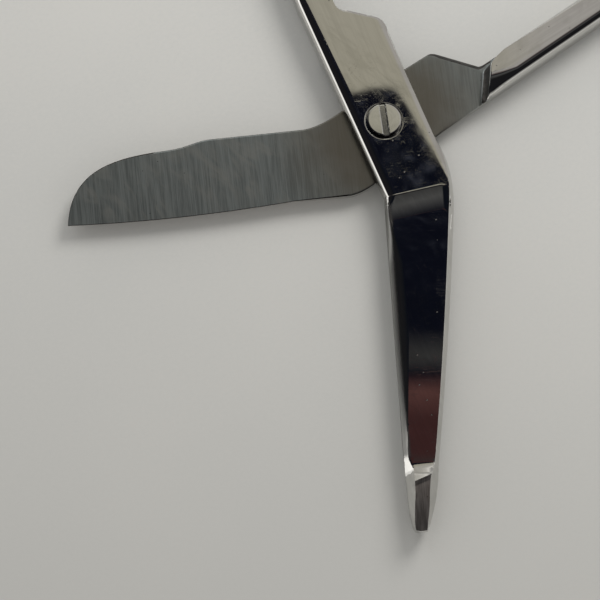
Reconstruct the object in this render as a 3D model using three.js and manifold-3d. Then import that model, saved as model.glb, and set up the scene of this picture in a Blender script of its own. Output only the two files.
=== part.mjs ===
// Angled bandage scissors: two forged halves that cross at a slotted pivot screw.
// Millimetres. +Z is up, the scissors lie on z = 0, and the pivot axis is the Z axis.
// They are modelled open, with +Y roughly between the two shanks and the blades towards -X and -Y.
import * as THREE from "three";
import { mergeVertices } from "three/addons/utils/BufferGeometryUtils.js";
import Module from "manifold-3d";

const wasm = await Module();
wasm.setup();

const DEGREE = Math.PI / 180;

// Thickness, from the face that rests on the table to the face on top
const THICKNESS = 4.4;
const MID_PLANE = THICKNESS / 2;
const FACE_GAP = 0.1; // between the two flat inner faces
const BLADE_END_THICKNESS = 1.3;

// How the halves stand when open: the way each shank points, and how far its blade bends from that line
const PROBE_SHANK_DIRECTION = 112.7 * DEGREE;
const BLADE_SHANK_DIRECTION = 32.7 * DEGREE;
const PROBE_BEND = 21.4 * DEGREE;
const BLADE_BEND = 26.5 * DEGREE;

// Lengths from the pivot
const HANDLE_LENGTH = 84.5;
const PROBE_BLADE_LENGTH = 48.5; // to the foot of the probe tip
const PROBE_TIP_LENGTH = 55.4;
const BROAD_BLADE_LENGTH = 43.9;
const SHANK_START = 20; // where the joint's plate is wholly inside the shank

// Finger rings
const RING_LENGTH = 34;
const RING_WIDTH = 27;
const RING_BAR = 4.6;
const RING_TURN = 9 * DEGREE; // the rings splay outwards
const RING_INNER_SIDE = -2; // past the shank's line, so that the rings nearly meet when closed
const EDGE_ROUND = 1.5;

// Cutting edges
const LAND = 0.35; // upright part of the edge
const BEVEL_WIDTH = 1.1;
const RELIEF_STEP = 0.3; // the outer face drops by this just past the crease
const RELIEF_RUN = 1.6;

// Pivot screw
const HEAD_RADIUS = 2.3;
const HEAD_TOP = 5.1;
const COUNTERBORE_RADIUS = 2.53;
const COUNTERBORE_FLOOR = 3.75;
const HEAD_SEAT = COUNTERBORE_FLOOR + FACE_GAP;
const SHAFT_RADIUS = 1.6;
const BORE_RADIUS = SHAFT_RADIUS + FACE_GAP;
const SLOT_WIDTH = 0.8;
const SLOT_DEPTH = 0.6;
const SLOT_DIRECTION = 97.4 * DEGREE;
const ROUND_STEPS = 40;

const OVERSHOOT = 10; // how far a cutter runs past what it cuts

const STEEL = { color: 0xb4b4b0, roughness: 0.22, metalness: 1 };
const GROUND_STEEL = { color: 0x8c8e8c, roughness: 0.4, metalness: 1 };
const SCREW_STEEL = { color: 0xbcbab0, roughness: 0.35, metalness: 1 };

// A closed three.js geometry as a solid that can be joined and cut.
function solid(geometry) {
  const bare = geometry.clone();
  bare.deleteAttribute("normal");
  bare.deleteAttribute("uv");
  const merged = mergeVertices(bare, 1e-4);
  const vertProperties = merged.attributes.position.array;
  const triVerts = new Uint32Array(merged.index.array);
  return new wasm.Manifold(new wasm.Mesh({ numProp: 3, vertProperties, triVerts }));
}

function mesh(name, body, look) {
  const { vertProperties, triVerts } = body.getMesh();
  const geometry = new THREE.BufferGeometry();
  geometry.setAttribute("position", new THREE.BufferAttribute(vertProperties, 3));
  geometry.setIndex(new THREE.BufferAttribute(triVerts, 1));
  geometry.computeVertexNormals();
  const made = new THREE.Mesh(geometry, new THREE.MeshStandardMaterial(look));
  made.name = name;
  return made;
}

// Each half has its own frame: +X along the shank towards the ring, +Y to the left, pivot at the origin.
// Its blade leaves the other way, bent towards +Y. Blade points are (out from pivot, left of the blade).
function bladeFrame(bend) {
  const turn = Math.PI - bend;
  return (out, left) => [
    out * Math.cos(turn) - left * Math.sin(turn),
    out * Math.sin(turn) + left * Math.cos(turn),
  ];
}

// Height of the flat inner face of the half whose outer face is on top (up = 1) or underneath (up = -1).
function innerFace(up) {
  return MID_PLANE + (up * FACE_GAP) / 2;
}

function slab(shape, bottom, top) {
  const geometry = new THREE.ExtrudeGeometry(shape, {
    depth: top - bottom,
    bevelEnabled: false,
    curveSegments: 12,
  });
  return solid(geometry.translate(0, 0, bottom));
}

function roundedSlab(shape, bottom, top, round, curveSegments) {
  const geometry = new THREE.ExtrudeGeometry(shape, {
    depth: top - bottom - 2 * round,
    bevelThickness: round,
    bevelSize: round,
    bevelOffset: -round,
    bevelSegments: 4,
    curveSegments,
  });
  return solid(geometry.translate(0, 0, bottom + round));
}

function cylinder(radius, bottom, top) {
  const geometry = new THREE.CylinderGeometry(radius, radius, top - bottom, ROUND_STEPS);
  geometry.rotateX(Math.PI / 2).translate(0, 0, (top + bottom) / 2);
  return solid(geometry);
}

// A prism whose section is drawn as (left of its run, height) and which runs between two points.
function ridge(section, [startX, startY], [endX, endY]) {
  const shape = new THREE.Shape(section.map(([across, height]) => new THREE.Vector2(across, height)));
  const run = new THREE.Vector3(endX - startX, endY - startY, 0);
  const geometry = new THREE.ExtrudeGeometry(shape, { depth: run.length(), bevelEnabled: false });
  const along = run.clone().normalize();
  const up = new THREE.Vector3(0, 0, 1);
  const across = new THREE.Vector3().crossVectors(up, along);
  geometry.applyMatrix4(new THREE.Matrix4().makeBasis(across, up, along));
  return solid(geometry.translate(startX, startY, 0));
}

// Shank and finger ring, full thickness, in the half's frame. side is +1 for a ring on the left.
function handle(side, shoulder, innerEdge, outerEdge) {
  const halfLength = RING_LENGTH / 2;
  const halfWidth = RING_WIDTH / 2;
  const reach = Math.hypot(halfLength * Math.cos(RING_TURN), halfWidth * Math.sin(RING_TURN));
  const swell = Math.hypot(halfLength * Math.sin(RING_TURN), halfWidth * Math.cos(RING_TURN));
  const centreX = HANDLE_LENGTH - reach;
  const centreY = side * (RING_INNER_SIDE + swell);
  const turn = side * RING_TURN;
  const joinAngle = side * 185 * DEGREE; // where the shank's outer edge runs into the ring
  const leaveAngle = side * 257 * DEGREE; // where the ring's side becomes the shank's inner edge
  const join = new THREE.Vector2(halfLength * Math.cos(joinAngle), halfWidth * Math.sin(joinAngle))
    .rotateAround(new THREE.Vector2(), turn)
    .add(new THREE.Vector2(centreX, centreY));

  const shape = new THREE.Shape();
  shape.moveTo(shoulder.inner, side * innerEdge);
  shape.lineTo(shoulder.outer, side * outerEdge);
  shape.lineTo(SHANK_START, side * outerEdge);
  shape.lineTo(44, side * (outerEdge - 1.1));
  shape.quadraticCurveTo(50.5, side * (outerEdge - 1.3), join.x, join.y);
  const farRound = leaveAngle - side * 2 * Math.PI;
  shape.absellipse(centreX, centreY, halfLength, halfWidth, joinAngle, farRound, side > 0, turn);
  shape.lineTo(SHANK_START, side * innerEdge);
  const holeRadii = [halfLength - RING_BAR, halfWidth - RING_BAR];
  const hole = new THREE.Path();
  hole.absellipse(centreX, centreY, ...holeRadii, 0, 2 * Math.PI, false, turn);
  shape.holes.push(hole);
  return roundedSlab(shape, 0, THICKNESS, EDGE_ROUND, 36);
}

// The wedge that leaves a blade's outer face tapering from its crease to its end. The crease crosses the
// blade at creaseOut from the pivot, slanted by creaseSlant. up is +1 for an outer face on top, else -1.
function relief(at, creaseOut, creaseSlant, bladeLength, up) {
  const outer = up > 0 ? THICKNESS : 0;
  const inner = innerFace(up);
  const section = [
    [0, outer],
    [RELIEF_RUN, outer - up * RELIEF_STEP],
    [bladeLength - creaseOut, inner + up * BLADE_END_THICKNESS],
    [bladeLength - creaseOut + OVERSHOOT, inner + up * BLADE_END_THICKNESS],
    [bladeLength - creaseOut + OVERSHOOT, outer + up * OVERSHOOT],
    [0, outer + up * OVERSHOOT],
  ];
  const halfWidth = 2 * OVERSHOOT;
  const sideways = halfWidth * Math.sin(creaseSlant);
  return ridge(section, at(creaseOut + sideways, -halfWidth), at(creaseOut - sideways, halfWidth));
}

// The slope behind a cutting edge from start to end. side is +1 where the blade lies left of it.
function edgeBevel(start, end, side, up) {
  const inner = innerFace(up);
  const face = up > 0 ? THICKNESS : 0;
  const section = [
    [side * BEVEL_WIDTH, face],
    [side * BEVEL_WIDTH, face + up * OVERSHOOT],
    [-side * OVERSHOOT, face + up * OVERSHOOT],
    [-side * OVERSHOOT, inner + up * LAND],
    [0, inner + up * LAND],
  ];
  return ridge(section, start, end);
}

function probeTip(at) {
  const shape = new THREE.Shape();
  shape.moveTo(...at(46.2, 1.15));
  shape.lineTo(...at(52.2, 1.5));
  shape.quadraticCurveTo(...at(PROBE_TIP_LENGTH, 1.7), ...at(PROBE_TIP_LENGTH, 3));
  shape.quadraticCurveTo(...at(PROBE_TIP_LENGTH, 4.3), ...at(52.2, 4.9));
  shape.lineTo(...at(46.2, 5.6));
  return roundedSlab(shape, 0.3, THICKNESS - 0.1, 0.8, 8);
}

function probeHalf() {
  const at = bladeFrame(PROBE_BEND);
  const innerEdge = -0.6;
  const outerEdge = 4.4;
  const rightSide = -5.65;
  const plate = new THREE.Shape();
  plate.moveTo(SHANK_START, outerEdge);
  plate.lineTo(...at(10.6, -0.3));
  plate.lineTo(...at(PROBE_BLADE_LENGTH, 1.2));
  plate.lineTo(...at(PROBE_BLADE_LENGTH, 5.5));
  plate.quadraticCurveTo(...at(30, 7.9), ...at(12.2, 9.1));
  plate.quadraticCurveTo(-9.8, -6.2, -6, rightSide);
  plate.lineTo(12.4, rightSide);
  plate.quadraticCurveTo(13.6, rightSide, 14.3, rightSide + 0.9);
  plate.lineTo(16.6, -1.6);
  plate.quadraticCurveTo(17.2, innerEdge, 18.2, innerEdge);
  plate.lineTo(SHANK_START, innerEdge);

  return slab(plate, innerFace(1), THICKNESS)
    .subtract(relief(at, 10.1, 0.2, PROBE_BLADE_LENGTH, 1))
    .subtract(edgeBevel(at(9, -0.4), at(PROBE_BLADE_LENGTH, 1.2), 1, 1))
    .add(handle(1, { inner: 16.4, outer: 12.1 }, innerEdge, outerEdge))
    .add(probeTip(at))
    .subtract(cylinder(BORE_RADIUS, -OVERSHOOT, OVERSHOOT))
    .subtract(cylinder(COUNTERBORE_RADIUS, COUNTERBORE_FLOOR, OVERSHOOT));
}

function bladeHalf() {
  const at = bladeFrame(BLADE_BEND);
  const innerEdge = 0;
  const outerEdge = -4.5;
  const leftSide = 5.3;
  const plate = new THREE.Shape();
  plate.moveTo(SHANK_START, innerEdge);
  plate.lineTo(16, innerEdge);
  plate.lineTo(12.2, 4.5);
  plate.quadraticCurveTo(11.5, leftSide, 10.8, leftSide);
  plate.lineTo(-1, leftSide - 0.1);
  plate.quadraticCurveTo(-6.6, 4.25, ...at(11, -0.65));
  plate.lineTo(...at(23.4, -0.65));
  plate.bezierCurveTo(...at(26.2, -0.65), ...at(26.4, 0.3), ...at(31, 0.35));
  plate.bezierCurveTo(...at(38.5, 0.7), ...at(43.1, 2.6), ...at(BROAD_BLADE_LENGTH, 9.45));
  plate.quadraticCurveTo(...at(28.6, 10.4), ...at(13.3, 9.3));
  plate.lineTo(...at(5.7, 9.35));
  plate.quadraticCurveTo(-7.6, -6.5, -5, -6.2);
  plate.lineTo(6, -5.1);
  plate.lineTo(13, -4.75);
  plate.lineTo(SHANK_START, outerEdge);

  return slab(plate, 0, innerFace(-1))
    .subtract(relief(at, 12, -0.2, BROAD_BLADE_LENGTH, -1))
    .subtract(edgeBevel(at(7, 9.5), at(BROAD_BLADE_LENGTH + 2, 9.7), -1, -1))
    .add(handle(-1, { inner: 17.2, outer: 14.4 }, innerEdge, -outerEdge))
    .subtract(cylinder(BORE_RADIUS, -OVERSHOOT, OVERSHOOT));
}

function pivotScrew() {
  const chamfer = 0.15;
  const profile = [
    [0, 0],
    [SHAFT_RADIUS, 0],
    [SHAFT_RADIUS, HEAD_SEAT],
    [HEAD_RADIUS, HEAD_SEAT],
    [HEAD_RADIUS, HEAD_TOP - chamfer],
    [HEAD_RADIUS - chamfer, HEAD_TOP],
    [0, HEAD_TOP],
  ];
  const turned = new THREE.LatheGeometry(
    profile.map(([radius, height]) => new THREE.Vector2(radius, height)),
    ROUND_STEPS,
  );
  const slot = new THREE.BoxGeometry(2 * OVERSHOOT, SLOT_WIDTH, 2 * SLOT_DEPTH);
  slot.rotateZ(SLOT_DIRECTION).translate(0, 0, HEAD_TOP);
  return solid(turned.rotateX(Math.PI / 2)).subtract(solid(slot));
}

const probe = mesh("probe_half", probeHalf(), STEEL);
probe.rotation.z = PROBE_SHANK_DIRECTION;
const blade = mesh("blade_half", bladeHalf(), GROUND_STEEL);
blade.rotation.z = BLADE_SHANK_DIRECTION;
const screw = mesh("pivot_screw", pivotScrew(), SCREW_STEEL);

const scissors = new THREE.Group();
scissors.add(probe, blade, screw);

export default scissors;
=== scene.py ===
"""Angled bandage scissors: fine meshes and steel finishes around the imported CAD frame.

The scissors lie on z = 0 with the pivot on the Z axis. Lengths are in millimetres until a mesh is made.
"""

import math

import bmesh
import bpy
import numpy as np
from mathutils import Matrix, Vector
from mathutils.geometry import delaunay_2d_cdt


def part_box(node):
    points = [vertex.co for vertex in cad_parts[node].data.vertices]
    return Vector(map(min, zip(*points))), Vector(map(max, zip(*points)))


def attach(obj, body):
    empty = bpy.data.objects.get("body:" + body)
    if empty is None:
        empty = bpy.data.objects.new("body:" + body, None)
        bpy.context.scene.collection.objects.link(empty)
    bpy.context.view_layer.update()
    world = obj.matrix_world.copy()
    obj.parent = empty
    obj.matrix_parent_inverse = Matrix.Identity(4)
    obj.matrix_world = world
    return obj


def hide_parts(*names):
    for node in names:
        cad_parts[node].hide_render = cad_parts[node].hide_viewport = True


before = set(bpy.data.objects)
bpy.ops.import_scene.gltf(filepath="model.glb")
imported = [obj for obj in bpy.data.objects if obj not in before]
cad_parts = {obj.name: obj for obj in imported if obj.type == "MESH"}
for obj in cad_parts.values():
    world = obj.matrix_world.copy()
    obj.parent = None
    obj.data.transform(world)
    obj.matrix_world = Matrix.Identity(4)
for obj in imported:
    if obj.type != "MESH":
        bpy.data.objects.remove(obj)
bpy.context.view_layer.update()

MM = 0.001
probe_low, probe_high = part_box("probe_half")
screw_low, screw_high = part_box("pivot_screw")

# Sizes of the CAD model, in millimetres
THICKNESS = probe_high.z / MM
MID_PLANE = THICKNESS / 2
FACE_GAP = 0.1
BLADE_END_THICKNESS = 1.3
PROBE_SHANK_DIRECTION = math.radians(112.7)
BLADE_SHANK_DIRECTION = math.radians(32.7)
PROBE_BEND = math.radians(21.4)
BLADE_BEND = math.radians(26.5)
HANDLE_LENGTH = 84.5
PROBE_BLADE_LENGTH = 48.5
BROAD_BLADE_LENGTH = 43.9
SHANK_START = 20
RING_LENGTH = 34
RING_WIDTH = 27
RING_BAR = 4.6
RING_TURN = math.radians(9)
RING_INNER_SIDE = -2
HEAD_RADIUS = 2.3
HEAD_TOP = screw_high.z / MM
HEAD_SEAT = 3.85
COUNTERBORE_RADIUS = 2.53
COUNTERBORE_FLOOR = 3.75
SHAFT_RADIUS = 1.6
BORE_RADIUS = 1.7
SLOT_WIDTH = 0.8
SLOT_DEPTH = 0.6
SLOT_DIRECTION = math.radians(97.4)

PROBE_INNER = MID_PLANE + FACE_GAP / 2
BLADE_INNER = MID_PLANE - FACE_GAP / 2


# ---------------------------------------------------------------- outlines

def edge(height, top, bottom):
    """How an outline's edge is finished: its height, then for each face (width, upright share, fullness).
    Fullness 1 is a straight slope from edge to face and 2 a quarter ellipse."""
    return np.array([height, *top, *bottom], float)


def line(a, b, step=0.5):
    """Points about a step apart from a to b."""
    n = max(1, round(math.dist(a, b) / step))
    t = np.linspace(0, 1, n + 1)[:, None]
    return np.array(a) * (1 - t) + np.array(b) * t


def quad(a, c, b, step=0.35):
    """A curve from a to b that is pulled towards c."""
    a, b, c = map(np.array, (a, b, c))
    n = max(2, round((math.dist(a, c) + math.dist(c, b)) / step))
    t = np.linspace(0, 1, n + 1)[:, None]
    return a * (1 - t) ** 2 + 2 * c * t * (1 - t) + b * t**2


def cubic(a, c, d, b, step=0.35):
    """A curve from a to b that leaves towards c and arrives from d."""
    a, b, c, d = map(np.array, (a, b, c, d))
    n = max(3, round((math.dist(a, c) + math.dist(c, d) + math.dist(d, b)) / step))
    t = np.linspace(0, 1, n + 1)[:, None]
    return a * (1 - t) ** 3 + 3 * c * t * (1 - t) ** 2 + 3 * d * t**2 * (1 - t) + b * t**3


def arc(centre, radii, turn, start, end, step=0.7):
    """Part of an ellipse, turned as a whole."""
    n = max(8, round(abs(end - start) * sum(radii) / 2 / step))
    t = np.linspace(start, end, n + 1)
    x, y = radii[0] * np.cos(t), radii[1] * np.sin(t)
    return np.array(centre) + np.stack(
        [x * math.cos(turn) - y * math.sin(turn), x * math.sin(turn) + y * math.cos(turn)], 1
    )


def loop(*runs):
    """A closed outline from runs of (points, edge at the start, edge at the end).
    Each run starts where the last one ends."""
    points, edges = [], []
    for run, start, end in runs:
        t = np.linspace(0, 1, len(run))[:-1, None]
        points.append(run[:-1])
        edges.append(start * (1 - t) + end * t)
    return np.concatenate(points), np.concatenate(edges)


def circle(radius, edges, step=0.2):
    points = arc((0, 0), (radius, radius), 0, 0, -2 * math.pi, step)
    return loop((points, edges, edges))


def inside(points, rim):
    """Whether each point is within a closed loop."""
    x, y = points[:, :1], points[:, 1:]
    ax, ay = rim[:, 0], rim[:, 1]
    bx, by = np.roll(ax, -1), np.roll(ay, -1)
    crosses = (ay > y) != (by > y)
    at = ax + (y - ay) * (bx - ax) / np.where(by == ay, 1, by - ay)
    return (crosses & (x < at)).sum(1) % 2 == 1


# ---------------------------------------------------------------- a plate's surface

# Where the mesh has rows across an edge's finish, as shares of its width
ROUND_ROWS = (0.015, 0.06, 0.134, 0.234, 0.357, 0.5, 0.658, 0.826, 1.0)
STRAIGHT_ROWS = (0.03, 0.15, 0.4, 0.7, 0.9, 1.0)
NARROW_ROWS = (0.35, 1.0)
NARROW = 0.3 # an edge finish narrower than this gets few rows
OUTER_ROW = 0.05 # one more row, this far past the finish
FEATURE_MARGIN = 0.04
SLIVER_MARGIN = 0.001
WELD_DISTANCE = 1e-4 * MM
EMPTY_EDGE = 1e-5 * MM
SHARP_ANGLE = math.radians(28)
CHUNK = 1500 # points handled at a time


def near_rim(points, loops):
    """The distance from each point to each segment of the loops, and the edge finish at the nearest place
    on it: the segment's first finish, its change along the segment, and how far along the place is."""
    a = np.concatenate([rim for rim, _ in loops])
    b = np.concatenate([np.roll(rim, -1, 0) for rim, _ in loops])
    start = np.concatenate([edges for _, edges in loops])
    end = np.concatenate([np.roll(edges, -1, 0) for _, edges in loops])
    run = b - a
    t = ((points[:, None] - a) * run).sum(2) / (run**2).sum(1)
    t = np.clip(t, 0, 1)[..., None]
    distance = np.linalg.norm(points[:, None] - a - run * t, axis=2)
    return distance, start, end - start, t[..., 0]


def heights(points, loops, base, up):
    """The height of the top (up = 1) or bottom (up = -1) face, from its base height to its edges."""
    low = 1 if up > 0 else 4
    level = base(points)
    out = np.empty(len(points))
    for i in range(0, len(points), CHUNK):
        part = slice(i, i + CHUNK)
        distance, start, change, t = near_rim(points[part], loops)
        height = start[:, 0] + change[:, 0] * t
        width = start[:, low] + change[:, low] * t
        share = start[:, low + 1] + change[:, low + 1] * t
        fullness = start[:, low + 2] + change[:, low + 2] * t
        q = np.clip(distance / width, 0, 1)
        rise = (1 - (1 - q) ** fullness) ** (1 / fullness)
        z = height + (level[part, None] - height) * (share + (1 - share) * rise)
        out[part] = (z * up).min(1) * up
    return out


def on_plate(points, loops):
    """Which points are inside the outline and outside its holes."""
    good = inside(points, loops[0][0])
    for hole, _ in loops[1:]:
        good &= ~inside(points, hole)
    return good


def clearance(points, loops):
    """The distance from each point to the nearest edge."""
    parts = [points[i : i + CHUNK] for i in range(0, len(points), CHUNK)]
    return np.concatenate([near_rim(part, loops)[0].min(1) for part in parts])


def within(points, loops, margin):
    """Which points are on the plate and more than a margin from its edges."""
    return on_plate(points, loops) & (clearance(points, loops) > margin)


def rim_rows(loops, low):
    """Points in rows along every edge, and the segments that join the rows where the slope ends."""
    kept, joins, count = [], [], 0
    for k, (rim, edges) in enumerate(loops):
        before = rim - np.roll(rim, 1, 0)
        after = np.roll(rim, -1, 0) - rim
        before /= np.linalg.norm(before, axis=1)[:, None]
        after /= np.linalg.norm(after, axis=1)[:, None]
        mean = before + after
        mean /= np.linalg.norm(mean, axis=1)[:, None]
        stretch = 1 / np.maximum(0.5, (mean * after).sum(1))
        normal = np.stack([-mean[:, 1], mean[:, 0]], 1) * stretch[:, None]
        signed = (rim[:, 0] * np.roll(rim[:, 1], -1) - np.roll(rim[:, 0], -1) * rim[:, 1]).sum()
        if (signed > 0) != (k == 0):
            normal = -normal
        points, depths, owners, last = [], [], [], []
        for i, width in enumerate(edges[:, low]):
            full = edges[i, low + 2] > 1.5
            rows = NARROW_ROWS if width < NARROW else ROUND_ROWS if full else STRAIGHT_ROWS
            for q in (*rows, 1 + OUTER_ROW / width):
                points.append(rim[i] + normal[i] * width * q)
                depths.append(width * q)
                owners.append(i)
                last.append(q == 1.0)
        points, depths = np.array(points), np.array(depths)
        # A point that is nearer to some other edge is left out
        good = on_plate(points, loops) & (clearance(points, loops) > 0.97 * depths - 0.002)
        index = np.cumsum(good) - 1 + count
        ends = {owners[i]: index[i] for i in range(len(points)) if last[i] and good[i]}
        joins += [(ends[i], ends[(i + 1) % len(rim)]) for i in ends if (i + 1) % len(rim) in ends]
        kept.append(points[good])
        count += good.sum()
    return np.concatenate(kept), joins


def face(loops, features, base, up):
    """Triangulates one face of a plate. features are polylines that its surface follows."""
    rim = np.concatenate([points for points, _ in loops])
    rim_height = np.concatenate([edges[:, 0] for _, edges in loops])
    segments, first = [], 0
    for points, _ in loops:
        n = len(points)
        segments += [(first + i, first + (i + 1) % n) for i in range(n)]
        first += n
    rows, joins = rim_rows(loops, 1 if up > 0 else 4)
    segments += [(a + first, b + first) for a, b in joins]
    first += len(rows)
    extra = []
    for points in features:
        good = within(points, loops, FEATURE_MARGIN)
        index = np.cumsum(good) - 1 + first
        segments += [(index[i], index[i + 1]) for i in range(len(points) - 1) if good[i] and good[i + 1]]
        extra.append(points[good])
        first += good.sum()
    points = np.concatenate([rim, rows, *extra])
    made, _, triangles, origins, _, _ = delaunay_2d_cdt(
        [Vector(p) for p in points], [(int(a), int(b)) for a, b in segments], [], 0, 1e-5, True
    )
    flat = np.array([v[:] for v in made])
    z = heights(flat, loops, base, up)
    for i, origin in enumerate(origins):
        on_rim = [o for o in origin if o < len(rim)]
        if on_rim:
            z[i] = rim_height[on_rim[0]]
            flat[i] = rim[on_rim[0]]
    triangles = np.array(triangles)
    middle = flat[triangles].mean(1)
    triangles = triangles[within(middle, loops, SLIVER_MARGIN)]
    return np.column_stack([flat, z]), triangles if up > 0 else triangles[:, ::-1]


def plate(name, loops, top, bottom, top_features=(), bottom_features=()):
    """A closed mesh between a top and a bottom face that meet along the outlines."""
    over, over_triangles = face(loops, top_features, top, 1)
    under, under_triangles = face(loops, bottom_features, bottom, -1)
    bm = bmesh.new()
    for points, triangles in ((over, over_triangles), (under, under_triangles)):
        vertices = [bm.verts.new(p * MM) for p in points]
        for triangle in triangles:
            bm.faces.new([vertices[i] for i in triangle])
    bmesh.ops.remove_doubles(bm, verts=bm.verts, dist=WELD_DISTANCE)
    bmesh.ops.delete(bm, geom=[v for v in bm.verts if not v.link_faces], context="VERTS")
    bmesh.ops.dissolve_degenerate(bm, edges=bm.edges, dist=EMPTY_EDGE)
    bmesh.ops.recalc_face_normals(bm, faces=bm.faces)
    mesh = bpy.data.meshes.new(name)
    bm.to_mesh(mesh)
    bm.free()
    mesh.shade_smooth()
    mesh.set_sharp_from_angle(angle=SHARP_ANGLE)
    made = bpy.data.objects.new(name, mesh)
    bpy.context.scene.collection.objects.link(made)
    return made


def turn_half(made, direction):
    """Turns a piece from its half's own frame to the way that half stands when open."""
    made.data.transform(Matrix.Rotation(direction, 4, "Z"))


def smooth(t):
    """Rises from 0 to 1 as t does, level at both ends."""
    t = np.clip(t, 0, 1)
    return t * t * (3 - 2 * t)


def blade_frame(bend):
    """Two functions between a half's own frame (+X along the shank, +Y to the left) and its blade's.
    at gives the point that is out from the pivot along the blade and left of it, and find the reverse."""
    turn = math.pi - bend
    c, s = math.cos(turn), math.sin(turn)

    def at(out, left):
        return (out * c - left * s, out * s + left * c)

    def find(points):
        x, y = points[:, 0], points[:, 1]
        return x * c + y * s, -x * s + y * c

    return at, find


# ---------------------------------------------------------------- handles

# Edge finishes of one face: (width, upright share, fullness)
ROUND = (1.65, 0.28, 2.6)
FOOT_ROUND = (2.8, 0.36, 1.7)
UNDER_ROUND = (0.8, 0.5, 1.8)
RING = (2.25, 0.02, 2.0)
SOFT = (0.25, 0.4, 1.6)
SHANK_OUTSIDE = edge(MID_PLANE, ROUND, UNDER_ROUND)
SHANK_INSIDE = edge(MID_PLANE, SOFT, SOFT)
RING_EDGE = edge(MID_PLANE, RING, RING)
RING_AT_OUTSIDE = math.radians(185) # where the shank's outer edge meets the ring, round from its far end
RING_AT_INSIDE = math.radians(257) # where its inner edge does


def handle_runs(side, inner_edge, outer_edge):
    """The outline from the shank's inner edge round the ring to its outer edge, and the ring's hole.
    side is +1 where the ring lies to the left."""
    half_length, half_width = RING_LENGTH / 2, RING_WIDTH / 2
    turn = side * RING_TURN
    reach = math.hypot(half_length * math.cos(turn), half_width * math.sin(turn))
    swell = math.hypot(half_length * math.sin(turn), half_width * math.cos(turn))
    centre = (HANDLE_LENGTH - reach, side * (RING_INNER_SIDE + swell))
    radii = (half_length, half_width)
    ring = arc(centre, radii, turn, side * RING_AT_INSIDE - side * 2 * math.pi, side * RING_AT_OUTSIDE)
    outer = quad(ring[-1], (50.5, side * (outer_edge - 1.3)), (44, side * (outer_edge - 1.1)), 0.8)
    runs = [
        (line((SHANK_START, side * inner_edge), ring[0], 0.8), SHANK_INSIDE, RING_EDGE),
        (ring, RING_EDGE, RING_EDGE),
        (outer, RING_EDGE, SHANK_OUTSIDE),
        (line(outer[-1], (SHANK_START, side * outer_edge), 0.8), SHANK_OUTSIDE, SHANK_OUTSIDE),
    ]
    hole = arc(centre, (half_length - RING_BAR, half_width - RING_BAR), turn, 0, 2 * math.pi)
    return runs, loop((hole, RING_EDGE, RING_EDGE))


def across(start, end, offsets, step=0.25):
    """Rows parallel to a line, at these distances past it on its right."""
    start, end = np.array(start), np.array(end)
    run = (end - start) / np.linalg.norm(end - start)
    right = np.array([run[1], -run[0]])
    return [line(start + right * o, end + right * o, step) for o in offsets]


def rings(radii, step=0.12):
    return [arc((0, 0), (r, r), 0, 0, 2 * math.pi, step) for r in radii]


def ring_root(side):
    """Rows where the shank widens into its ring."""
    return [line((45, side * y), (58, side * y), 0.35) for y in np.arange(0.6, 9, 0.35)]


# ---------------------------------------------------------------- the half with the probe tip

PROBE_CREASE = 10.7 # out along the blade, as are the starts and ends below
PROBE_CREASE_SLANT = 0.21
COVE_RUN = 3.2
COVE_SLOPES = math.tan(math.radians(10.5)), math.tan(math.radians(5.5)) # at its start and its end
CREASE_LIP = 0.012
RAMP_START = 46.4
RAMP_END = 48.5
RAMP_SLANT = 0.41
RAMP_EASE = 0.45 # the share of the ramp over which its slope grows
PROBE_MIDDLE = 3.4 # left of the blade's line
PROBE_RIDGE = 4.35 # heights
PROBE_UNDERSIDE = 0.3
TIP_GROOVE = 47.9
PROBE_SHANK_INSIDE = -0.6
PROBE_SHANK_OUTSIDE = 4.4
STEP_START = (16.4, PROBE_SHANK_INSIDE) # the step on the underside where the joint's plate meets the shank
STEP_END = (12.1, PROBE_SHANK_OUTSIDE)
SIDE_SLOPE = 0.04 # the cutting edge leans this much from the blade's line
SIDE_OFFSET = 0.728
RIGHT_SIDE = -5.65
CROWN = 0.06
CROWN_WIDTH = 1.1
BORE_ROUND = 0.13
WALL = 0.06

# Distances past a crease at which the mesh has rows: close together at its lip and at the cove's end
LIP_ROWS = (-0.3, -0.14, -0.09, -0.06, -0.03, 0, 0.03, 0.06, 0.09, 0.14, 0.2, 0.35)
COVE_ROWS = (0.6, 0.9, 1.2, 1.6, 2.0, 2.4, 2.8)
COVE_END_ROWS = tuple(COVE_RUN + d for d in (-0.05, -0.02, 0, 0.02, 0.12))
CREASE_ROWS = LIP_ROWS + COVE_ROWS + COVE_END_ROWS


def relieved(past, length, full, thin):
    """Thickness of a blade at a distance past its crease: a shallow cove and then a long taper."""
    steep, mild = COVE_SLOPES
    reached = np.clip(past / COVE_RUN, 0, 1)
    hollow = COVE_RUN * (steep * reached - (steep - mild) * reached**2 / 2)
    cove = COVE_RUN * (steep + mild) / 2
    taper = (full - cove - thin) * np.clip((past - COVE_RUN) / (length - COVE_RUN), 0, 1)
    lip = CREASE_LIP * np.exp(-((past / 0.05) ** 2))
    return full - hollow - taper + lip


probe_at, probe_find = blade_frame(PROBE_BEND)


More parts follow.
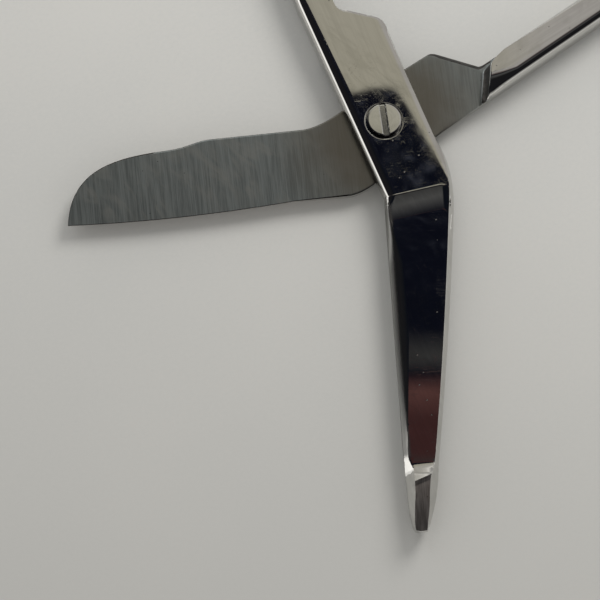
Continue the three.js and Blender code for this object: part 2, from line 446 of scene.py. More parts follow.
def probe_top(points):
    """The upper face: plate and shank, cove, blade, the ramp to the probe tip, and the counterbore."""
    out, left = probe_find(points)
    bent = 0.5 * np.clip(left - 7.1, 0, 1.2) ** 2 # the crease curves outwards near the spine
    past = (out - PROBE_CREASE + PROBE_CREASE_SLANT * left - bent) / math.hypot(1, PROBE_CREASE_SLANT)
    full = THICKNESS - PROBE_INNER
    blade = PROBE_INNER + relieved(past, PROBE_BLADE_LENGTH - PROBE_CREASE, full, BLADE_END_THICKNESS)
    crowned = np.clip((RIGHT_SIDE + CROWN_WIDTH - points[:, 1]) / CROWN_WIDTH, 0, 1)
    blade -= CROWN * crowned**2 * (out < 10)
    ramp_end = RAMP_END - RAMP_SLANT * (left - PROBE_MIDDLE)
    reach = np.clip((out - RAMP_START) / (ramp_end - RAMP_START), 0, 1)
    eased = np.where(reach < RAMP_EASE, reach**2 / (2 * RAMP_EASE), reach - RAMP_EASE / 2)
    ramp = eased / (1 - RAMP_EASE / 2)
    beyond = out - ramp_end
    ridge = PROBE_RIDGE - 0.2 * smooth(beyond / 0.7) - 0.012 * np.clip(beyond, 0, 9) ** 2.1
    groove = 0.03 * np.exp(-(((out - TIP_GROOVE) / 0.05) ** 2)) * smooth((4.6 - left) / 0.4)
    z = blade + (ridge - groove - blade) * ramp
    radius = np.hypot(points[:, 0], points[:, 1])
    rim = np.clip((radius - COUNTERBORE_RADIUS) / BORE_ROUND, 0, 1)
    rounded = THICKNESS - BORE_ROUND * (1 - np.sqrt(1 - (1 - rim) ** 2))
    z = np.where(radius < COUNTERBORE_RADIUS + BORE_ROUND, rounded, z)
    wall = smooth((COUNTERBORE_RADIUS - radius) / WALL)
    return z + (COUNTERBORE_FLOOR - z) * wall


def probe_bottom(points):
    """The lower face: flat along the joint and the blade, and deeper under the shank and the probe tip."""
    x, y = points[:, 0], points[:, 1]
    out, left = probe_find(points)
    slant = (STEP_END[0] - STEP_START[0]) / (STEP_END[1] - STEP_START[1])
    foot = x - STEP_START[0] - (y - STEP_START[1]) * slant
    shank = 1 - np.sqrt(1 - np.clip(foot / 0.6 + 1, 0, 1) ** 2)
    tip = smooth((out - 46.2) / 1.4)
    depth = np.maximum(shank * PROBE_INNER, tip * (PROBE_INNER - PROBE_UNDERSIDE))
    return PROBE_INNER - depth


def probe_half():
    """Its outline runs from the shank along the cutting edge, round the tip and back along the spine."""
    plain = (0.06, 0.0, 1.0)
    cove_side = edge(PROBE_INNER + 0.02, (0.5, 0.3, 2.0), plain)
    cut = edge(PROBE_INNER + 0.02, (1.8, 0.6, 1.4), plain)
    glint = edge(PROBE_INNER + 0.02, (0.55, 0.62, 1.0), plain)
    left_side = edge(PROBE_INNER + 0.02, ROUND, plain)
    spine_foot = edge(PROBE_INNER + 0.02, (0.8, 0.06, 1.25), plain)
    spine_end = edge(PROBE_INNER + 0.02, (0.6, 0.06, 1.25), plain)
    right_side = edge(PROBE_INNER + 0.02, (0.3, 0.6, 1.4), plain)
    corner = edge(PROBE_INNER + 1.95, (0.3, 0.5, 1.4), (1.25, 0.0, 1.0))
    notch = edge(PROBE_INNER, SOFT, (0.4, 0.0, 1.2))
    tip_foot = edge(MID_PLANE, (1.1, 0.35, 1.0), (0.8, 0.1, 2.0))
    tip_side = edge(MID_PLANE, (1.0, 0.35, 1.0), (0.8, 0.1, 2.0))
    tip_neck = edge(MID_PLANE, (0.42, 0.35, 1.0), (0.8, 0.1, 2.0))
    tip_end = edge(MID_PLANE, (0.12, 0.5, 1.0), (0.8, 0.1, 2.0))
    at = probe_at

    def side(out):
        return at(out, SIDE_SLOPE * out - SIDE_OFFSET)

    handle, hole = handle_runs(1, PROBE_SHANK_INSIDE, PROBE_SHANK_OUTSIDE)
    rim = loop(
        (line((SHANK_START, PROBE_SHANK_OUTSIDE), side(10.6)), SHANK_OUTSIDE, left_side),
        (line(side(10.6), side(11.6), 0.2), left_side, cove_side),
        (line(side(11.6), side(13.4), 0.25), cove_side, cove_side),
        (line(side(13.4), side(20), 0.3), cove_side, cut),
        (line(side(20), side(30)), cut, cut),
        (line(side(30), side(44.6), 0.3), cut, glint),
        (line(side(44.6), side(46), 0.2), glint, glint),
        (line(side(46), side(47.4), 0.2), glint, tip_foot),
        (line(side(47.4), at(48.6, 1.26), 0.25), tip_foot, tip_foot),
        (line(at(48.6, 1.26), at(50.6, 1.4), 0.25), tip_foot, tip_side),
        (quad(at(50.6, 1.4), at(52.4, 1.53), at(54, 1.8), 0.25), tip_side, tip_neck),
        (quad(at(54, 1.8), at(55, 1.95), at(55.35, 2.3), 0.15), tip_neck, tip_end),
        (quad(at(55.35, 2.3), at(55.5, 3.1), at(55.3, 3.9), 0.15), tip_end, tip_end),
        (quad(at(55.3, 3.9), at(54.9, 4.1), at(54, 4.35), 0.15), tip_end, tip_neck),
        (quad(at(54, 4.35), at(52.4, 4.9), at(50.6, 5.23), 0.25), tip_neck, tip_side),
        (line(at(50.6, 5.23), at(48.6, 5.53), 0.25), tip_side, tip_foot),
        (line(at(48.6, 5.53), at(46.2, 5.72), 0.2), tip_foot, spine_end),
        (quad(at(46.2, 5.72), at(30, 7.8), at(12.2, 9.1), 0.5), spine_end, spine_foot),
        (quad(at(12.2, 9.1), (-9.8, -6.2), (-6, RIGHT_SIDE), 0.25), spine_foot, right_side),
        (line((-6, RIGHT_SIDE), (8, RIGHT_SIDE), 0.4), right_side, right_side),
        (line((8, RIGHT_SIDE), (12.4, RIGHT_SIDE), 0.4), right_side, corner),
        (quad((12.4, RIGHT_SIDE), (13.6, RIGHT_SIDE), (14.3, -4.75), 0.2), corner, corner),
        (line((14.3, -4.75), (16.6, -1.6), 0.3), corner, corner),
        (quad((16.6, -1.6), (17.2, PROBE_SHANK_INSIDE), (18.2, PROBE_SHANK_INSIDE), 0.15), corner, notch),
        (line((18.2, PROBE_SHANK_INSIDE), (SHANK_START, PROBE_SHANK_INSIDE), 0.3), notch, SHANK_INSIDE),
        *handle,
    )
    bore = circle(BORE_RADIUS, edge(PROBE_INNER + 0.1, (0.1, 0.9, 1.2), (0.1, 0.1, 1.0)))
    crease = at(PROBE_CREASE + 3 * PROBE_CREASE_SLANT, -3), at(PROBE_CREASE - 12 * PROBE_CREASE_SLANT, 12)
    slanted = at(RAMP_END + RAMP_SLANT * 4, PROBE_MIDDLE - 4), at(RAMP_END - RAMP_SLANT * 4, PROBE_MIDDLE + 4)
    ramp_foot = at(RAMP_START, 0), at(RAMP_START, 8)
    features = across(*crease, CREASE_ROWS)
    features += across(*ramp_foot, (-5, -4, -3, -2.2, -1.6, -1.1, -0.7, -0.4), 0.4)
    features += across(*ramp_foot, np.arange(-0.1, 0.9, 0.1), 0.15)
    groove_rows = (-0.1, -0.05, -0.025, 0, 0.025, 0.05, 0.1)
    features += across(at(TIP_GROOVE, 0), at(TIP_GROOVE, 4.7), groove_rows, 0.15)
    features += across(*slanted, [*np.arange(-0.4, 0.9, 0.08), 1.4, 2.2, 3, 4, 5, 6], 0.12)
    crown_rows = np.append(np.arange(0.0, 1.15, 0.12), (1.2, 1.3)) + RIGHT_SIDE
    features += [line((-11, y), (14, y), 0.5) for y in crown_rows]
    bore_rows = [COUNTERBORE_RADIUS + d for d in (-0.12, -WALL, -0.04, -0.02)]
    bore_rows += [COUNTERBORE_RADIUS + BORE_ROUND * q for q in (0, 0.06, 0.2, 0.4, 0.65, 1.0, 1.4)]
    features += rings(bore_rows)
    features += ring_root(1)
    under = across(STEP_START, STEP_END, (-0.7, -0.6, -0.5, -0.4, -0.28, -0.16, -0.08, -0.03, 0, 0.06))
    under += across(at(46.2, 0), at(46.2, 7), np.arange(0, 1.5, 0.15), 0.25)
    return plate("probe_half_steel_body", [rim, hole, bore], probe_top, probe_bottom, features, under)


# ---------------------------------------------------------------- the half with the broad blade

BROAD_CREASE = 12
BROAD_CREASE_SLANT = -0.2
BLADE_SHANK_INSIDE = 0.0
BLADE_SHANK_OUTSIDE = 4.5
SHOULDER_PLACE = 17.55
SHOULDER_SLOPE = 0.777
SHOULDER_SQUARE = 0.79 # distance square to the shoulder for each unit along the shank
SHOULDER_FILLET = 1.15

broad_at, broad_find = blade_frame(BLADE_BEND)


def shoulder(left):
    """Where the step up to the shank's face crosses a line this far left of the shank's."""
    return SHOULDER_PLACE + SHOULDER_SLOPE * left + 3.4 * np.clip(1 + left / 1.1, 0, 1) ** 2


def past_shoulder(points):
    """Distance past the shoulder, towards the ring."""
    return SHOULDER_SQUARE * (points[:, 0] - shoulder(points[:, 1]))


def blade_top(points):
    """The upper face: the flat inner side of the blade and the joint, and the fillet up to the shank."""
    past = past_shoulder(points)
    foot = np.clip(past / SHOULDER_FILLET + 1, 0, 1)
    brow = 0.1 * (1 - np.sqrt(1 - (1 - np.clip(past / 0.15, 0, 1)) ** 2))
    return THICKNESS - brow - (THICKNESS - brow - BLADE_INNER) * np.sqrt(1 - foot**2)


def blade_bottom(points):
    """The lower face, which thins past its crease."""
    out, left = broad_find(points)
    past = (out - BROAD_CREASE + BROAD_CREASE_SLANT * left) / math.hypot(1, BROAD_CREASE_SLANT)
    length = BROAD_BLADE_LENGTH - BROAD_CREASE
    return BLADE_INNER - relieved(past, length, BLADE_INNER, BLADE_END_THICKNESS)


def blade_half():
    """Its outline runs from the shank along the blade's back, round its end and along the cutting edge."""
    height = BLADE_INNER - 0.08
    broken = (0.18, 0.1, 1.2)
    plain = (0.06, 0.0, 1.0)
    cut = edge(BLADE_INNER - 0.02, plain, (1.07, 0.2, 1.06))
    back = edge(height, broken, (0.7, 0.06, 1.25))
    plate_side = edge(height, broken, (1.2, 0.4, 1.9))
    sloping = edge(BLADE_INNER - 0.5, (0.6, 0.0, 1.15), (0.9, 0.3, 1.7))
    notch = edge(MID_PLANE - 0.3, (0.3, 0.1, 1.3), SOFT)
    low_side = edge(height, broken, ROUND)
    shoulder_side = edge(MID_PLANE, FOOT_ROUND, UNDER_ROUND)
    at = broad_at
    handle, hole = handle_runs(-1, BLADE_SHANK_INSIDE, BLADE_SHANK_OUTSIDE)
    rim = loop(
        (line((SHANK_START, 0), (16.6, 0), 0.3), SHANK_INSIDE, notch),
        (quad((16.6, 0), (16.1, 0), (15.8, 0.22), 0.12), notch, sloping),
        (line((15.8, 0.22), (12.25, 4.45), 0.3), sloping, sloping),
        (quad((12.25, 4.45), (11.5, 5.3), (10.8, 5.3), 0.2), sloping, plate_side),
        (line((10.8, 5.3), (-1, 5.2), 0.4), plate_side, plate_side),
        (quad((-1, 5.2), (-6.6, 4.25), at(11, -0.65), 0.3), plate_side, back),
        (line(at(11, -0.65), at(23.4, -0.65), 0.4), back, back),
        (cubic(at(23.4, -0.65), at(26.2, -0.65), at(26.4, 0.3), at(31, 0.35)), back, back),
        (cubic(at(31, 0.35), at(38.5, 0.7), at(43.1, 2.6), at(43.9, 9.45), 0.3), back, cut),
        (quad(at(43.9, 9.45), at(28.6, 10.4), at(13.3, 9.3), 0.4), cut, cut),
        (line(at(13.3, 9.3), at(5.7, 9.35), 0.4), cut, plate_side),
        (quad(at(5.7, 9.35), (-7.6, -6.5), (-5, -6.2), 0.25), plate_side, low_side),
        (line((-5, -6.2), (6, -5.1)), low_side, low_side),
        (line((6, -5.1), (13, -4.75), 0.4), low_side, shoulder_side),
        (line((13, -4.75), (15, -4.68), 0.3), shoulder_side, shoulder_side),
        (line((15, -4.68), (19.2, -4.53), 0.3), shoulder_side, SHANK_OUTSIDE),
        (line((19.2, -4.53), (SHANK_START, -BLADE_SHANK_OUTSIDE), 0.3), SHANK_OUTSIDE, SHANK_OUTSIDE),
        *[(run[::-1], end, start) for run, start, end in handle[::-1]],
    )
    bore = circle(BORE_RADIUS, edge(BLADE_INNER - 0.1, (0.1, 0.1, 1.0), (0.12, 0.9, 1.2)))
    ledge = np.linspace(0.2, -5, 34)
    fillet_rows = SHOULDER_FILLET * (np.sin(np.linspace(0, math.pi / 2, 14)) - 1)
    brow_rows = (0.01, 0.03, 0.07, 0.11, 0.15, 0.2)
    features = [
        np.column_stack([shoulder(ledge) + d / SHOULDER_SQUARE, ledge]) for d in (*fillet_rows, *brow_rows)
    ]
    features += ring_root(-1)
    low, high = BROAD_CREASE + 3 * BROAD_CREASE_SLANT, BROAD_CREASE - 12 * BROAD_CREASE_SLANT
    under = across(at(low, -3), at(high, 12), CREASE_ROWS)
    return plate("blade_half_steel_body", [rim, hole, bore], blade_top, blade_bottom, features, under)


# ---------------------------------------------------------------- pivot screw

SHAFT_WALL = 0.04


def screw_top(points):
    """The domed head, which stands slightly askew, and its slot."""
    c, s = math.cos(SLOT_DIRECTION), math.sin(SLOT_DIRECTION)
    off = np.abs(-points[:, 0] * s + points[:, 1] * c) - SLOT_WIDTH / 2
    radius = np.hypot(points[:, 0], points[:, 1])
    face = HEAD_TOP - 0.09 - 0.03 * points[:, 1] - 0.02 * (radius / HEAD_RADIUS) ** 2
    lip = 0.07 * (1 - np.sqrt(1 - np.clip(1 - off / 0.09, 0, 1) ** 2))
    face = face - np.where(off > 0, lip, 0.07)
    wall = smooth(-off / 0.05)
    return face + (HEAD_TOP - SLOT_DEPTH - face) * wall


def screw_bottom(points):
    """The shaft's flush end, its wall, and the underside of the head."""
    radius = np.hypot(points[:, 0], points[:, 1])
    end = 0.12 * (1 - np.sqrt(1 - np.clip((radius - SHAFT_RADIUS + 0.2) / 0.2, 0, 1) ** 2))
    wall = smooth((radius - SHAFT_RADIUS + SHAFT_WALL) / SHAFT_WALL)
    return end + (HEAD_SEAT - end) * wall


def pivot_screw():
    rim = circle(HEAD_RADIUS, edge(HEAD_SEAT + 0.1, (0.16, 0.86, 1.7), (0.08, 0.1, 1.0)), 0.12)
    offsets = [-0.4, -0.3, -0.1, -0.05, -0.03, 0, 0.02, 0.045, 0.09, 0.16, 0.3]
    c, s = math.cos(SLOT_DIRECTION), math.sin(SLOT_DIRECTION)
    ends = np.array([(-3 * c, -3 * s), (3 * c, 3 * s)])
    features = []
    for side in (1, -1):
        out = side * (SLOT_WIDTH / 2) * np.array([s, -c])
        features += across(*(ends + out), [side * o for o in offsets], 0.12)
    features += rings([0.3, 0.6, 0.9, 1.2, 1.5, 1.8])
    shaft_rows = [SHAFT_RADIUS - d for d in (0.3, 0.2, 0.16, 0.12, 0.09, SHAFT_WALL, 0.02, 0)]
    return plate("pivot_screw_steel", [rim], screw_top, screw_bottom, features, rings([0.8, *shaft_rows]))


# ---------------------------------------------------------------- shader graphs

def tone(red, green, blue):
    """A display colour from 0 to 255 as the linear colour that shaders take."""
    linear = [((v / 255 + 0.055) / 1.055) ** 2.4 if v > 10 else v / 255 / 12.92 for v in (red, green, blue)]
    return (*linear, 1.0)


class Graph:
    """Adds nodes to a tree. An input is a socket, a value, or None for the default."""

    def __init__(self, tree):
        self.tree = tree
        tree.nodes.clear()

    def put(self, socket, value):
        if isinstance(value, bpy.types.NodeSocket):
            self.tree.links.new(value, socket)
        elif value is not None:
            socket.default_value = value

    def add(self, kind, inputs=(), **settings):
        node = self.tree.nodes.new("ShaderNode" + kind)
        for name, value in settings.items():
            setattr(node, name, value)
        for key, value in dict(inputs).items():
            self.put(node.inputs[key], value)
        return node

    def math(self, operation, a, b=0.0, c=0.0):
        return self.add("Math", {0: a, 1: b, 2: c}, operation=operation).outputs[0]

    def span(self, value, low, high, to_low=0.0, to_high=1.0, smooth=True):
        kind = "SMOOTHSTEP" if smooth else "LINEAR"
        inputs = {0: value, 1: low, 2: high, 3: to_low, 4: to_high}
        return self.add("MapRange", inputs, interpolation_type=kind).outputs[0]

    def mix(self, factor, a, b):
        return self.add("Mix", {0: factor, 6: a, 7: b}, data_type="RGBA").outputs[2]

    def ramp(self, factor, stops):
        node = self.add("ValToRGB", {0: factor})
        elements = node.color_ramp.elements
        elements[0].position, elements[0].color = stops[0]
        elements[1].position, elements[1].color = stops[-1]
        for place, colour in stops[1:-1]:
            elements.new(place).color = colour
        return node.outputs[0]

    def place(self, turn, scale):
        """Object coordinates in millimetres, turned about Z and then scaled."""
        where = self.add("TexCoord").outputs["Object"]
        grown = self.add("Mapping", {"Vector": where, "Scale": (1 / MM,) * 3}).outputs[0]
        turned = self.add("Mapping", {"Vector": grown, "Rotation": (0, 0, -turn)}).outputs[0]
        return self.add("Mapping", {"Vector": turned, "Scale": scale}).outputs[0]

    def noise(self, vector, scale, detail=3.0, distortion=0.0):
        inputs = {"Vector": vector, "Scale": scale, "Detail": detail, "Distortion": distortion}
        return self.add("TexNoise", inputs).outputs[0]


def steel(name, grain_turn, grain, colours, roughness, relief, haze, spots, scratches, worn=None, honed_and_shaded=None):
    """Bare steel.
    grain is its (lengthways, crossways) frequency per millimetre, or None on turned work.
    colours are its low places, its high places and its finger marks.
    roughness goes from low to high places, and relief is the grain's depth.
    haze is how much finger marks dull it.
    spots is (number per millimetre, share kept, size) of its pits, and scratches are (turn, width).
    worn is (inner radius, outer radius, colour) of a rubbed patch round the pivot.
    The last argument is (turn, offset, width, start, end) of a dull, honed band along an edge, whose darker
    colour is painted shade."""
    material = bpy.data.materials.new(name)
    material.use_nodes = True
    g = Graph(material.node_tree)
    if grain:
        fine = g.noise(g.place(grain_turn, (grain[0], grain[1], grain[0])), 1.0, 5.0)
        coarse = g.noise(g.place(grain_turn, (grain[0] / 2, grain[1] / 4, grain[0])), 1.0, 3.0)
    else:
        flat = g.add("SeparateXYZ", {0: g.place(0, (1, 1, 1))})
        squares = [g.math("POWER", flat.outputs[i], 2) for i in (0, 1)]
        radius = g.math("SQRT", g.math("ADD", *squares))
        turned = g.add("CombineXYZ", {0: radius, 1: g.math("MULTIPLY", flat.outputs[0], 0.04)}).outputs[0]
        fine = g.noise(turned, 14.0, 3.0)
        coarse = g.noise(turned, 3.0, 2.0)
    streak = g.math("MULTIPLY_ADD", coarse, 0.4, g.math("MULTIPLY", fine, 0.6))
    spread = g.span(streak, 0.36, 0.64)
    cloud = g.noise(g.place(0, (1, 1, 1)), 0.22, 4.0, 0.6)
    smear = g.noise(g.place(grain_turn + 0.5, (0.3, 0.9, 1)), 0.6, 5.0, 1.5)
    dull = g.span(g.math("MULTIPLY", cloud, smear), 0.2, 0.42)
    speck = g.add("TexVoronoi", {"Vector": g.place(0.4, (1, 1.3, 1)), "Scale": spots[0]}, feature="F1")
    chosen = g.add("SeparateColor", {0: speck.outputs["Color"]}).outputs[0]
    pit = g.span(speck.outputs["Distance"], spots[2] * spots[0] / 2, spots[2] * spots[0], 1.0, 0.0)
    pit = g.math("MULTIPLY", pit, g.math("GREATER_THAN", chosen, 1 - spots[1]))
    cuts = 0.0
    for turn, keep in scratches:
        long = g.noise(g.place(turn, (0.1, 4.5, 1)), 1.0, 2.0, 0.25)
        cut = g.span(g.math("ABSOLUTE", g.math("SUBTRACT", long, 0.5)), 0.0, keep, 1.0, 0.0)
        here = g.span(g.noise(g.place(turn + 1, (0.35, 0.6, 1)), 1.0, 1.0), 0.55, 0.62)
        cuts = g.math("MAXIMUM", cuts, g.math("MULTIPLY", cut, here))
    colour = g.mix(spread, colours[0], colours[1])
    colour = g.mix(g.math("MULTIPLY", dull, 0.6), colour, colours[2])
    colour = g.mix(g.math("MULTIPLY", pit, 0.4), colour, tone(70, 62, 54))
    rough = g.span(streak, 0.3, 0.7, roughness[0], roughness[1], False)
    if worn:
        reach = g.add("VectorMath", {0: g.place(0, (1, 1, 0))}, operation="LENGTH").outputs["Value"]
        rubbed = g.span(g.math("MULTIPLY_ADD", cloud, 6.0, reach), worn[1] + 3, worn[0] + 3)
        colour = g.mix(g.math("MULTIPLY", rubbed, 0.8), colour, worn[2])
    if honed_and_shaded:
        along = g.add("SeparateXYZ", {0: g.place(honed_and_shaded[0], (1, 1, 1))}).outputs
        honed_shade = g.span(along[1], honed_and_shaded[1] + honed_and_shaded[2], honed_and_shaded[1] + 0.25 * honed_and_shaded[2])
        honed_shade = g.math("MULTIPLY", honed_shade, g.span(along[0], honed_and_shaded[3], honed_and_shaded[3] + 2))
        honed_shade = g.math("MULTIPLY", honed_shade, g.span(along[0], honed_and_shaded[4], honed_and_shaded[4] - 1))
        rough = g.math("MULTIPLY_ADD", honed_shade, 0.42, rough)
        # Painted shade: the band's colour is darkened, standing in for the dark reflection along the honed
        # bevel
        colour = g.mix(g.math("MULTIPLY", honed_shade, 0.8), colour, tone(112, 112, 110))
    rough = g.math("MULTIPLY_ADD", dull, haze, rough)
    rough = g.math("MULTIPLY_ADD", pit, 0.45, rough)
    rough = g.math("MULTIPLY_ADD", cuts, 0.06, rough)
    height = g.math("MULTIPLY_ADD", streak, relief, g.math("MULTIPLY", pit, -0.001))
    height = g.math("MULTIPLY_ADD", cuts, -0.00025, height)
    bump = g.add("Bump", {"Strength": 1.0, "Distance": MM, "Height": height}).outputs[0]
    inputs = {"Base Color": colour, "Metallic": 1.0, "Roughness": rough, "Normal": bump}
    shader = g.add("BsdfPrincipled", inputs)
    g.add("OutputMaterial", {"Surface": shader.outputs[0]})
    return material


def polish(name, direction, honed_and_shaded=None):
    """Mirror-polished steel with hairline scratches."""
    colours = tone(196, 195, 192), tone(206, 205, 202), tone(188, 187, 183)
    scratches = (direction + 1.2, 0.006), (direction + 2.0, 0.005), (direction + 0.3, 0.004)
    grain, roughness, relief, haze = (0.12, 3.0), (0.015, 0.025), 0.000025, 0.02
    spots = 0.8, 0.3, 0.13
    return steel(name, direction, grain, colours, roughness, relief, haze, spots, scratches, honed_and_shaded=honed_and_shaded)


def grind(name, direction):
    """Steel with plain grinding lines, rubbed darker near the joint."""
    colours = tone(148, 155, 157), tone(174, 182, 184), tone(182, 184, 181)
    scratches = (direction + 0.1, 0.01), (direction + 0.9, 0.006), (direction + 2.1, 0.006)
    grain, roughness, relief, haze = (0.25, 9.0), (0.3, 0.42), 0.003, 0.05
    spots = 0.8, 0.3, 0.1
    worn = 6, 17, tone(134, 127, 114)
    return steel(name, direction, grain, colours, roughness, relief, haze, spots, scratches, worn)


def painted_shade_steel(name, direction):
    """Dark, unpolished steel: painted shade in place of the dark reflections along the broad blade's rim and
    shoulder fillet.
    """
    colours = tone(64, 63, 62), tone(92, 90, 88), tone(80, 76, 72)
    return steel(name, direction, (0.4, 3.0), colours, (0.4, 0.5), 0.004, 0.05, (1.5, 0.5, 0.16), ())


def whet(name, direction):
    """The bright finish of a cutting edge and of the probe tip's face."""
    colours = tone(166, 159, 155), tone(206, 199, 195), tone(166, 156, 150)
    return steel(name, direction, (0.5, 7.0), colours, (0.3, 0.42), 0.003, 0.04, (1.2, 0.3, 0.12), ())


ACROSS = math.pi / 2
probe_blade_direction = PROBE_SHANK_DIRECTION + math.pi - PROBE_BEND
broad_blade_direction = BLADE_SHANK_DIRECTION + math.pi - BLADE_BEND
# A dull honed band beside the probe blade's cutting edge, its darker colour painted shade
probe_honed_shaded_band = probe_blade_direction + 0.0406, -0.77, 1.15, 10.6, 46.2
probe_finishes = (
    polish("polished_probe_half", PROBE_SHANK_DIRECTION, probe_honed_shaded_band),
    grind("ground_probe_half", probe_blade_direction + ACROSS),
    whet("whetted_probe_half", probe_blade_direction),
)
blade_finishes = (
    polish("polished_blade_half", BLADE_SHANK_DIRECTION),
    grind("ground_blade_half", broad_blade_direction + ACROSS),
    whet("whetted_blade_half", broad_blade_direction + ACROSS),
    # Dark steel as painted shade on the broad blade's rim and shoulder fillet
    painted_shade_steel("painted_shade_blade_edge", broad_blade_direction),
)
turned_steel = steel(
    "turned_screw", 0.0, None, (tone(204, 204, 201), tone(216, 216, 212), tone(196, 195, 190)),
    (0.09, 0.12), 0.0001, 0.04, (1.2, 0.2, 0.1), ((0.7, 0.005),),
)


# The order of a half's materials
POLISHED, GROUND, WHETTED, PAINTED_SHADE = range(4)


def finish_faces(made, *materials, choose=None):
    """Gives a piece its materials. choose takes the faces' middles in millimetres and their normals,
    and returns which material each face has."""
    for material in materials:
        made.data.materials.append(material)
    if choose:
        count = len(made.data.polygons)
        middle, normal = np.empty(count * 3), np.empty(count * 3)
        made.data.polygons.foreach_get("center", middle)
        made.data.polygons.foreach_get("normal", normal)
        index = choose(middle.reshape(-1, 3) / MM, normal.reshape(-1, 3))
        made.data.polygons.foreach_set("material_index", index.astype(np.int32))


def probe_finish(middle, normal):
    out, left = probe_find(middle[:, :2])
    ramp_end = RAMP_END - RAMP_SLANT * (left - PROBE_MIDDLE)
    tip = (out > ramp_end + 0.02) & (middle[:, 2] > MID_PLANE) & (normal[:, 2] > 0.85)
    inner = (normal[:, 2] < -0.9) & (np.abs(middle[:, 2] - PROBE_INNER) < 0.03)
    return np.where(tip, WHETTED, np.where(inner, GROUND, POLISHED))


def blade_finish(middle, normal):
    out, left = broad_find(middle[:, :2])
    past = past_shoulder(middle[:, :2])
    z, rise = middle[:, 2], normal[:, 2]
    inner = (rise > 0) & (past < 0) & (z > MID_PLANE - 0.6)
    bevel = (rise < -0.2) & (rise > -0.85) & (out > 7) & (left > 8)
    low_rim = (z < BLADE_INNER - 0.002) & (z > BLADE_INNER - 0.6)
    rim = low_rim & (rise > 0.1) & (rise < 0.95) & (past < -SHOULDER_FILLET)
    fillet = (z > BLADE_INNER + 0.12) & (rise > 0.1) & (past < 0)
    # Painted shade: the rim chamfers and the shoulder fillet take the dark steel in place of their dark
    # reflections and shadow
    return np.where(rim | fillet, PAINTED_SHADE, np.where(bevel, WHETTED, np.where(inner, GROUND, POLISHED)))


# ---------------------------------------------------------------- the pieces, each on its CAD body

probe = probe_half()
finish_faces(probe, *probe_finishes, choose=probe_finish)
turn_half(probe, PROBE_SHANK_DIRECTION)
blade = blade_half()
finish_faces(blade, *blade_finishes, choose=blade_finish)
turn_half(blade, BLADE_SHANK_DIRECTION)
screw = pivot_screw()
finish_faces(screw, turned_steel)
for piece, node, body, slot in (
    (probe, "probe_half", "upper_half", "probe_half_steel"),
    (blade, "blade_half", "lower_half", "blade_half_steel"),
    (screw, "pivot_screw", "lower_half", "screw_steel"),
):
    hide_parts(node)
    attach(piece, body)


# ---------------------------------------------------------------- floor, light and camera

FLOOR_DROP = 0.00002 # below the lowest face, so that the two don't coincide
LOOK_LEFT = 0.011378 # from the pivot to the middle of the picture
LOOK_NEAR = 0.024387
CAMERA_ELEVATION = math.radians(77)
CAMERA_DISTANCE = 0.24


def floor():
    """A pale card, with painted shade making it slightly darker towards the front."""
    mesh = bpy.data.meshes.new("floor")
    size, steps = 1.5, 24
    bm = bmesh.new()
    bmesh.ops.create_grid(bm, x_segments=steps, y_segments=steps, size=size)
    bm.to_mesh(mesh)
    bm.free()
    made = bpy.data.objects.new("floor", mesh)
    bpy.context.scene.collection.objects.link(made)
    made.location.z = probe_low.z - FLOOR_DROP
    material = bpy.data.materials.new("pale_card")
    material.use_nodes = True
    g = Graph(material.node_tree)
    cloud = g.noise(g.place(0, (1, 1, 1)), 0.02, 4.0)
    fibre = g.noise(g.place(0.5, (1, 1.6, 1)), 1.4, 6.0)
    blend = g.math("MULTIPLY_ADD", cloud, 0.7, g.math("MULTIPLY", fibre, 0.3))
    colour = g.mix(g.span(blend, 0.35, 0.65), tone(203, 203, 200), tone(209, 208, 204))
    # Painted shade: the card darkens towards the front, where less light falls
    front = g.span(g.add("SeparateXYZ", {0: g.place(0, (1, 1, 1))}).outputs[1], 20, -95, smooth=False)
    colour = g.mix(front, colour, tone(189, 188, 184))
    bump = g.add("Bump", {"Strength": 0.25, "Distance": MM, "Height": g.math("MULTIPLY", fibre, 0.05)})
    inputs = {"Base Color": colour, "Roughness": 0.75, "Normal": bump.outputs[0], "Specular IOR Level": 0.25}
    shader = g.add("BsdfPrincipled", inputs)
    g.add("OutputMaterial", {"Surface": shader.outputs[0]})
    made.data.materials.append(material)


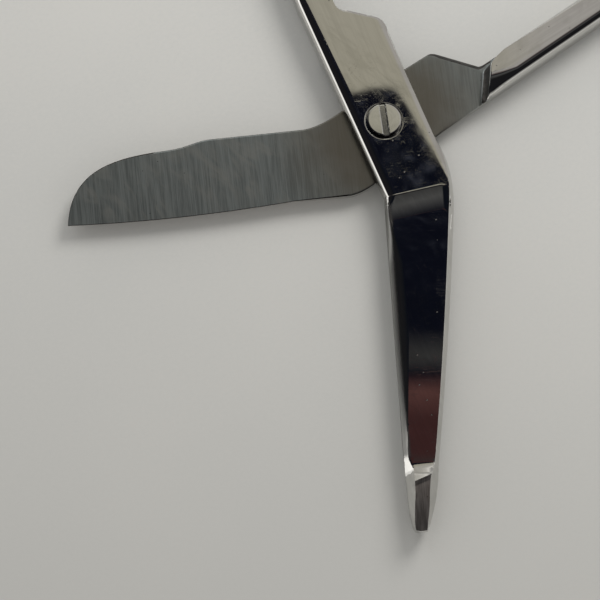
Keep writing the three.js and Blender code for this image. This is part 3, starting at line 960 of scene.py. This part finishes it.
def studio():
    """Soft light all round, and what the polished steel mirrors: something dark overhead with reddish
    and grey bands, a pale ceiling beyond it, and a bright window low on the left.
    right and ahead say how far a ray leans from straight up."""
    world = bpy.data.worlds.new("studio")
    bpy.context.scene.world = world
    world.use_nodes = True
    g = Graph(world.node_tree)
    ray = g.add("SeparateXYZ", {0: g.add("TexCoord").outputs["Generated"]})
    x, y, z = ray.outputs
    rise = g.math("MAXIMUM", z, 0.02)
    right = g.math("DIVIDE", x, rise)
    ahead = g.math("DIVIDE", y, rise)
    low, high = -0.15, 0.4
    shadow, sheen, navy = (0.015, 0.015, 0.015, 1), (0.1, 0.1, 0.1, 1), (0.005, 0.006, 0.012, 1)
    grey, maroon, rust = (0.05, 0.05, 0.05, 1), (0.06, 0.025, 0.025, 1), (0.12, 0.055, 0.05, 1)
    bands = (
        (low, shadow), (0.0, sheen), (0.09, navy), (0.11, grey), (0.12, maroon), (0.14, maroon),
        (0.155, rust), (0.165, navy), (0.175, grey), (0.19, navy), (high, navy),
    )
    stops = [((place - low) / (high - low), shade) for place, shade in bands]
    overhead = g.ramp(g.span(ahead, low, high, smooth=False), stops)
    pale = g.mix(g.span(ahead, 0.35, 0.8, smooth=False), (0.46, 0.435, 0.352, 1), (0.56, 0.545, 0.5, 1))
    # The dark shape's far edge curves back at both ends
    arch = g.math("ADD", g.span(right, 0.052, 0.085, 0.0, 0.045), g.span(right, 0.045, 0.03, 0.0, 0.003))
    # The bands go dark at their left end
    left_end = g.math("MULTIPLY", g.span(right, 0.045, -0.01), g.span(ahead, 0.25, 0.2))
    overhead = g.mix(left_end, overhead, (0.006, 0.008, 0.013, 1))
    # Grey mottling towards that far edge
    mist = g.noise(g.add("CombineXYZ", {0: right, 1: ahead}).outputs[0], 170.0, 5.0, 0.8)
    mist = g.math("MULTIPLY", g.span(mist, 0.5, 0.78), g.span(ahead, 0.2, 0.31))
    overhead = g.mix(mist, overhead, (0.07, 0.077, 0.1, 1))
    colour = g.mix(g.span(g.math("ADD", ahead, arch), 0.3565, 0.3605), overhead, pale)
    colour = g.mix(g.span(ahead, 0.9, 2.6), colour, (1.0, 0.97, 0.92, 1))
    # Pale on the right, and dark on the left and on the near side
    beside = g.math("MULTIPLY", g.span(right, 0.085, 0.16), g.span(ahead, 0.1, 0.25))
    colour = g.mix(beside, colour, (0.5, 0.48, 0.455, 1))
    aside = g.math("MAXIMUM", g.math("MULTIPLY", right, -1), g.math("MULTIPLY", ahead, -1.4))
    shade = g.math("MULTIPLY", g.span(aside, -0.03, 0.5), g.span(ahead, 1.5, 0.4))
    colour = g.mix(shade, colour, (0.014, 0.014, 0.016, 1))
    # Grey walls, the window, and the bright rim of the room
    colour = g.mix(g.span(z, 0.42, 0.3), colour, (0.42, 0.415, 0.4, 1))
    window = g.math("MULTIPLY", g.span(z, 0.5, 0.36), g.span(x, -0.55, -0.75))
    colour = g.mix(window, colour, (1.5, 1.48, 1.44, 1))
    colour = g.mix(g.span(z, 0.14, 0.05), colour, (1.1, 1.09, 1.06, 1))
    # Rays that light the scene see a plain dome instead, and the camera a plain backdrop
    paths = g.add("LightPath").outputs
    dome = g.mix(g.span(z, 0.8, 0.2), (0.35, 0.348, 0.342, 1), (0.94, 0.934, 0.918, 1))
    colour = g.mix(paths["Is Glossy Ray"], dome, colour)
    colour = g.mix(paths["Is Camera Ray"], colour, tone(205, 205, 202))
    back = g.add("Background", {0: colour, 1: 1.0})
    g.add("OutputWorld", {0: back.outputs[0]})


def lamp(name, place, aim, size, watts, colour):
    """A round soft light that the steel doesn't mirror."""
    light = bpy.data.lights.new(name, "AREA")
    light.shape = "DISK"
    light.size = size
    light.energy = watts
    light.color = colour
    made = bpy.data.objects.new(name, light)
    made.location = place
    made.rotation_mode = "QUATERNION"
    made.rotation_quaternion = (Vector(aim) - Vector(place)).to_track_quat("-Z", "Y")
    made.visible_glossy = False
    bpy.context.scene.collection.objects.link(made)


def camera():
    """Looks steeply down from the near side, as the photo does."""
    data = bpy.data.cameras.new("camera")
    data.lens = 108
    data.sensor_width = 36
    data.clip_start = 0.01
    data.clip_end = 20
    made = bpy.data.objects.new("camera", data)
    bpy.context.scene.collection.objects.link(made)
    pivot = (screw_low + screw_high) / 2
    aim = Vector((pivot.x - LOOK_LEFT, pivot.y - LOOK_NEAR, MID_PLANE * MM))
    back = Vector((0, -math.cos(CAMERA_ELEVATION), math.sin(CAMERA_ELEVATION)))
    made.location = aim + CAMERA_DISTANCE * back
    made.rotation_euler = (math.pi / 2 - CAMERA_ELEVATION, 0, 0)
    bpy.context.scene.camera = made


floor()
studio()
lamp("key", (0.16, 0.22, 0.24), (0, -0.02, 0), 0.2, 0.75, (1.0, 0.985, 0.96))
lamp("fill", (-0.2, 0.35, 0.5), (0, -0.02, 0), 0.5, 0.4, (0.97, 0.985, 1.0))
camera()
bpy.context.scene.view_settings.view_transform = "Standard"
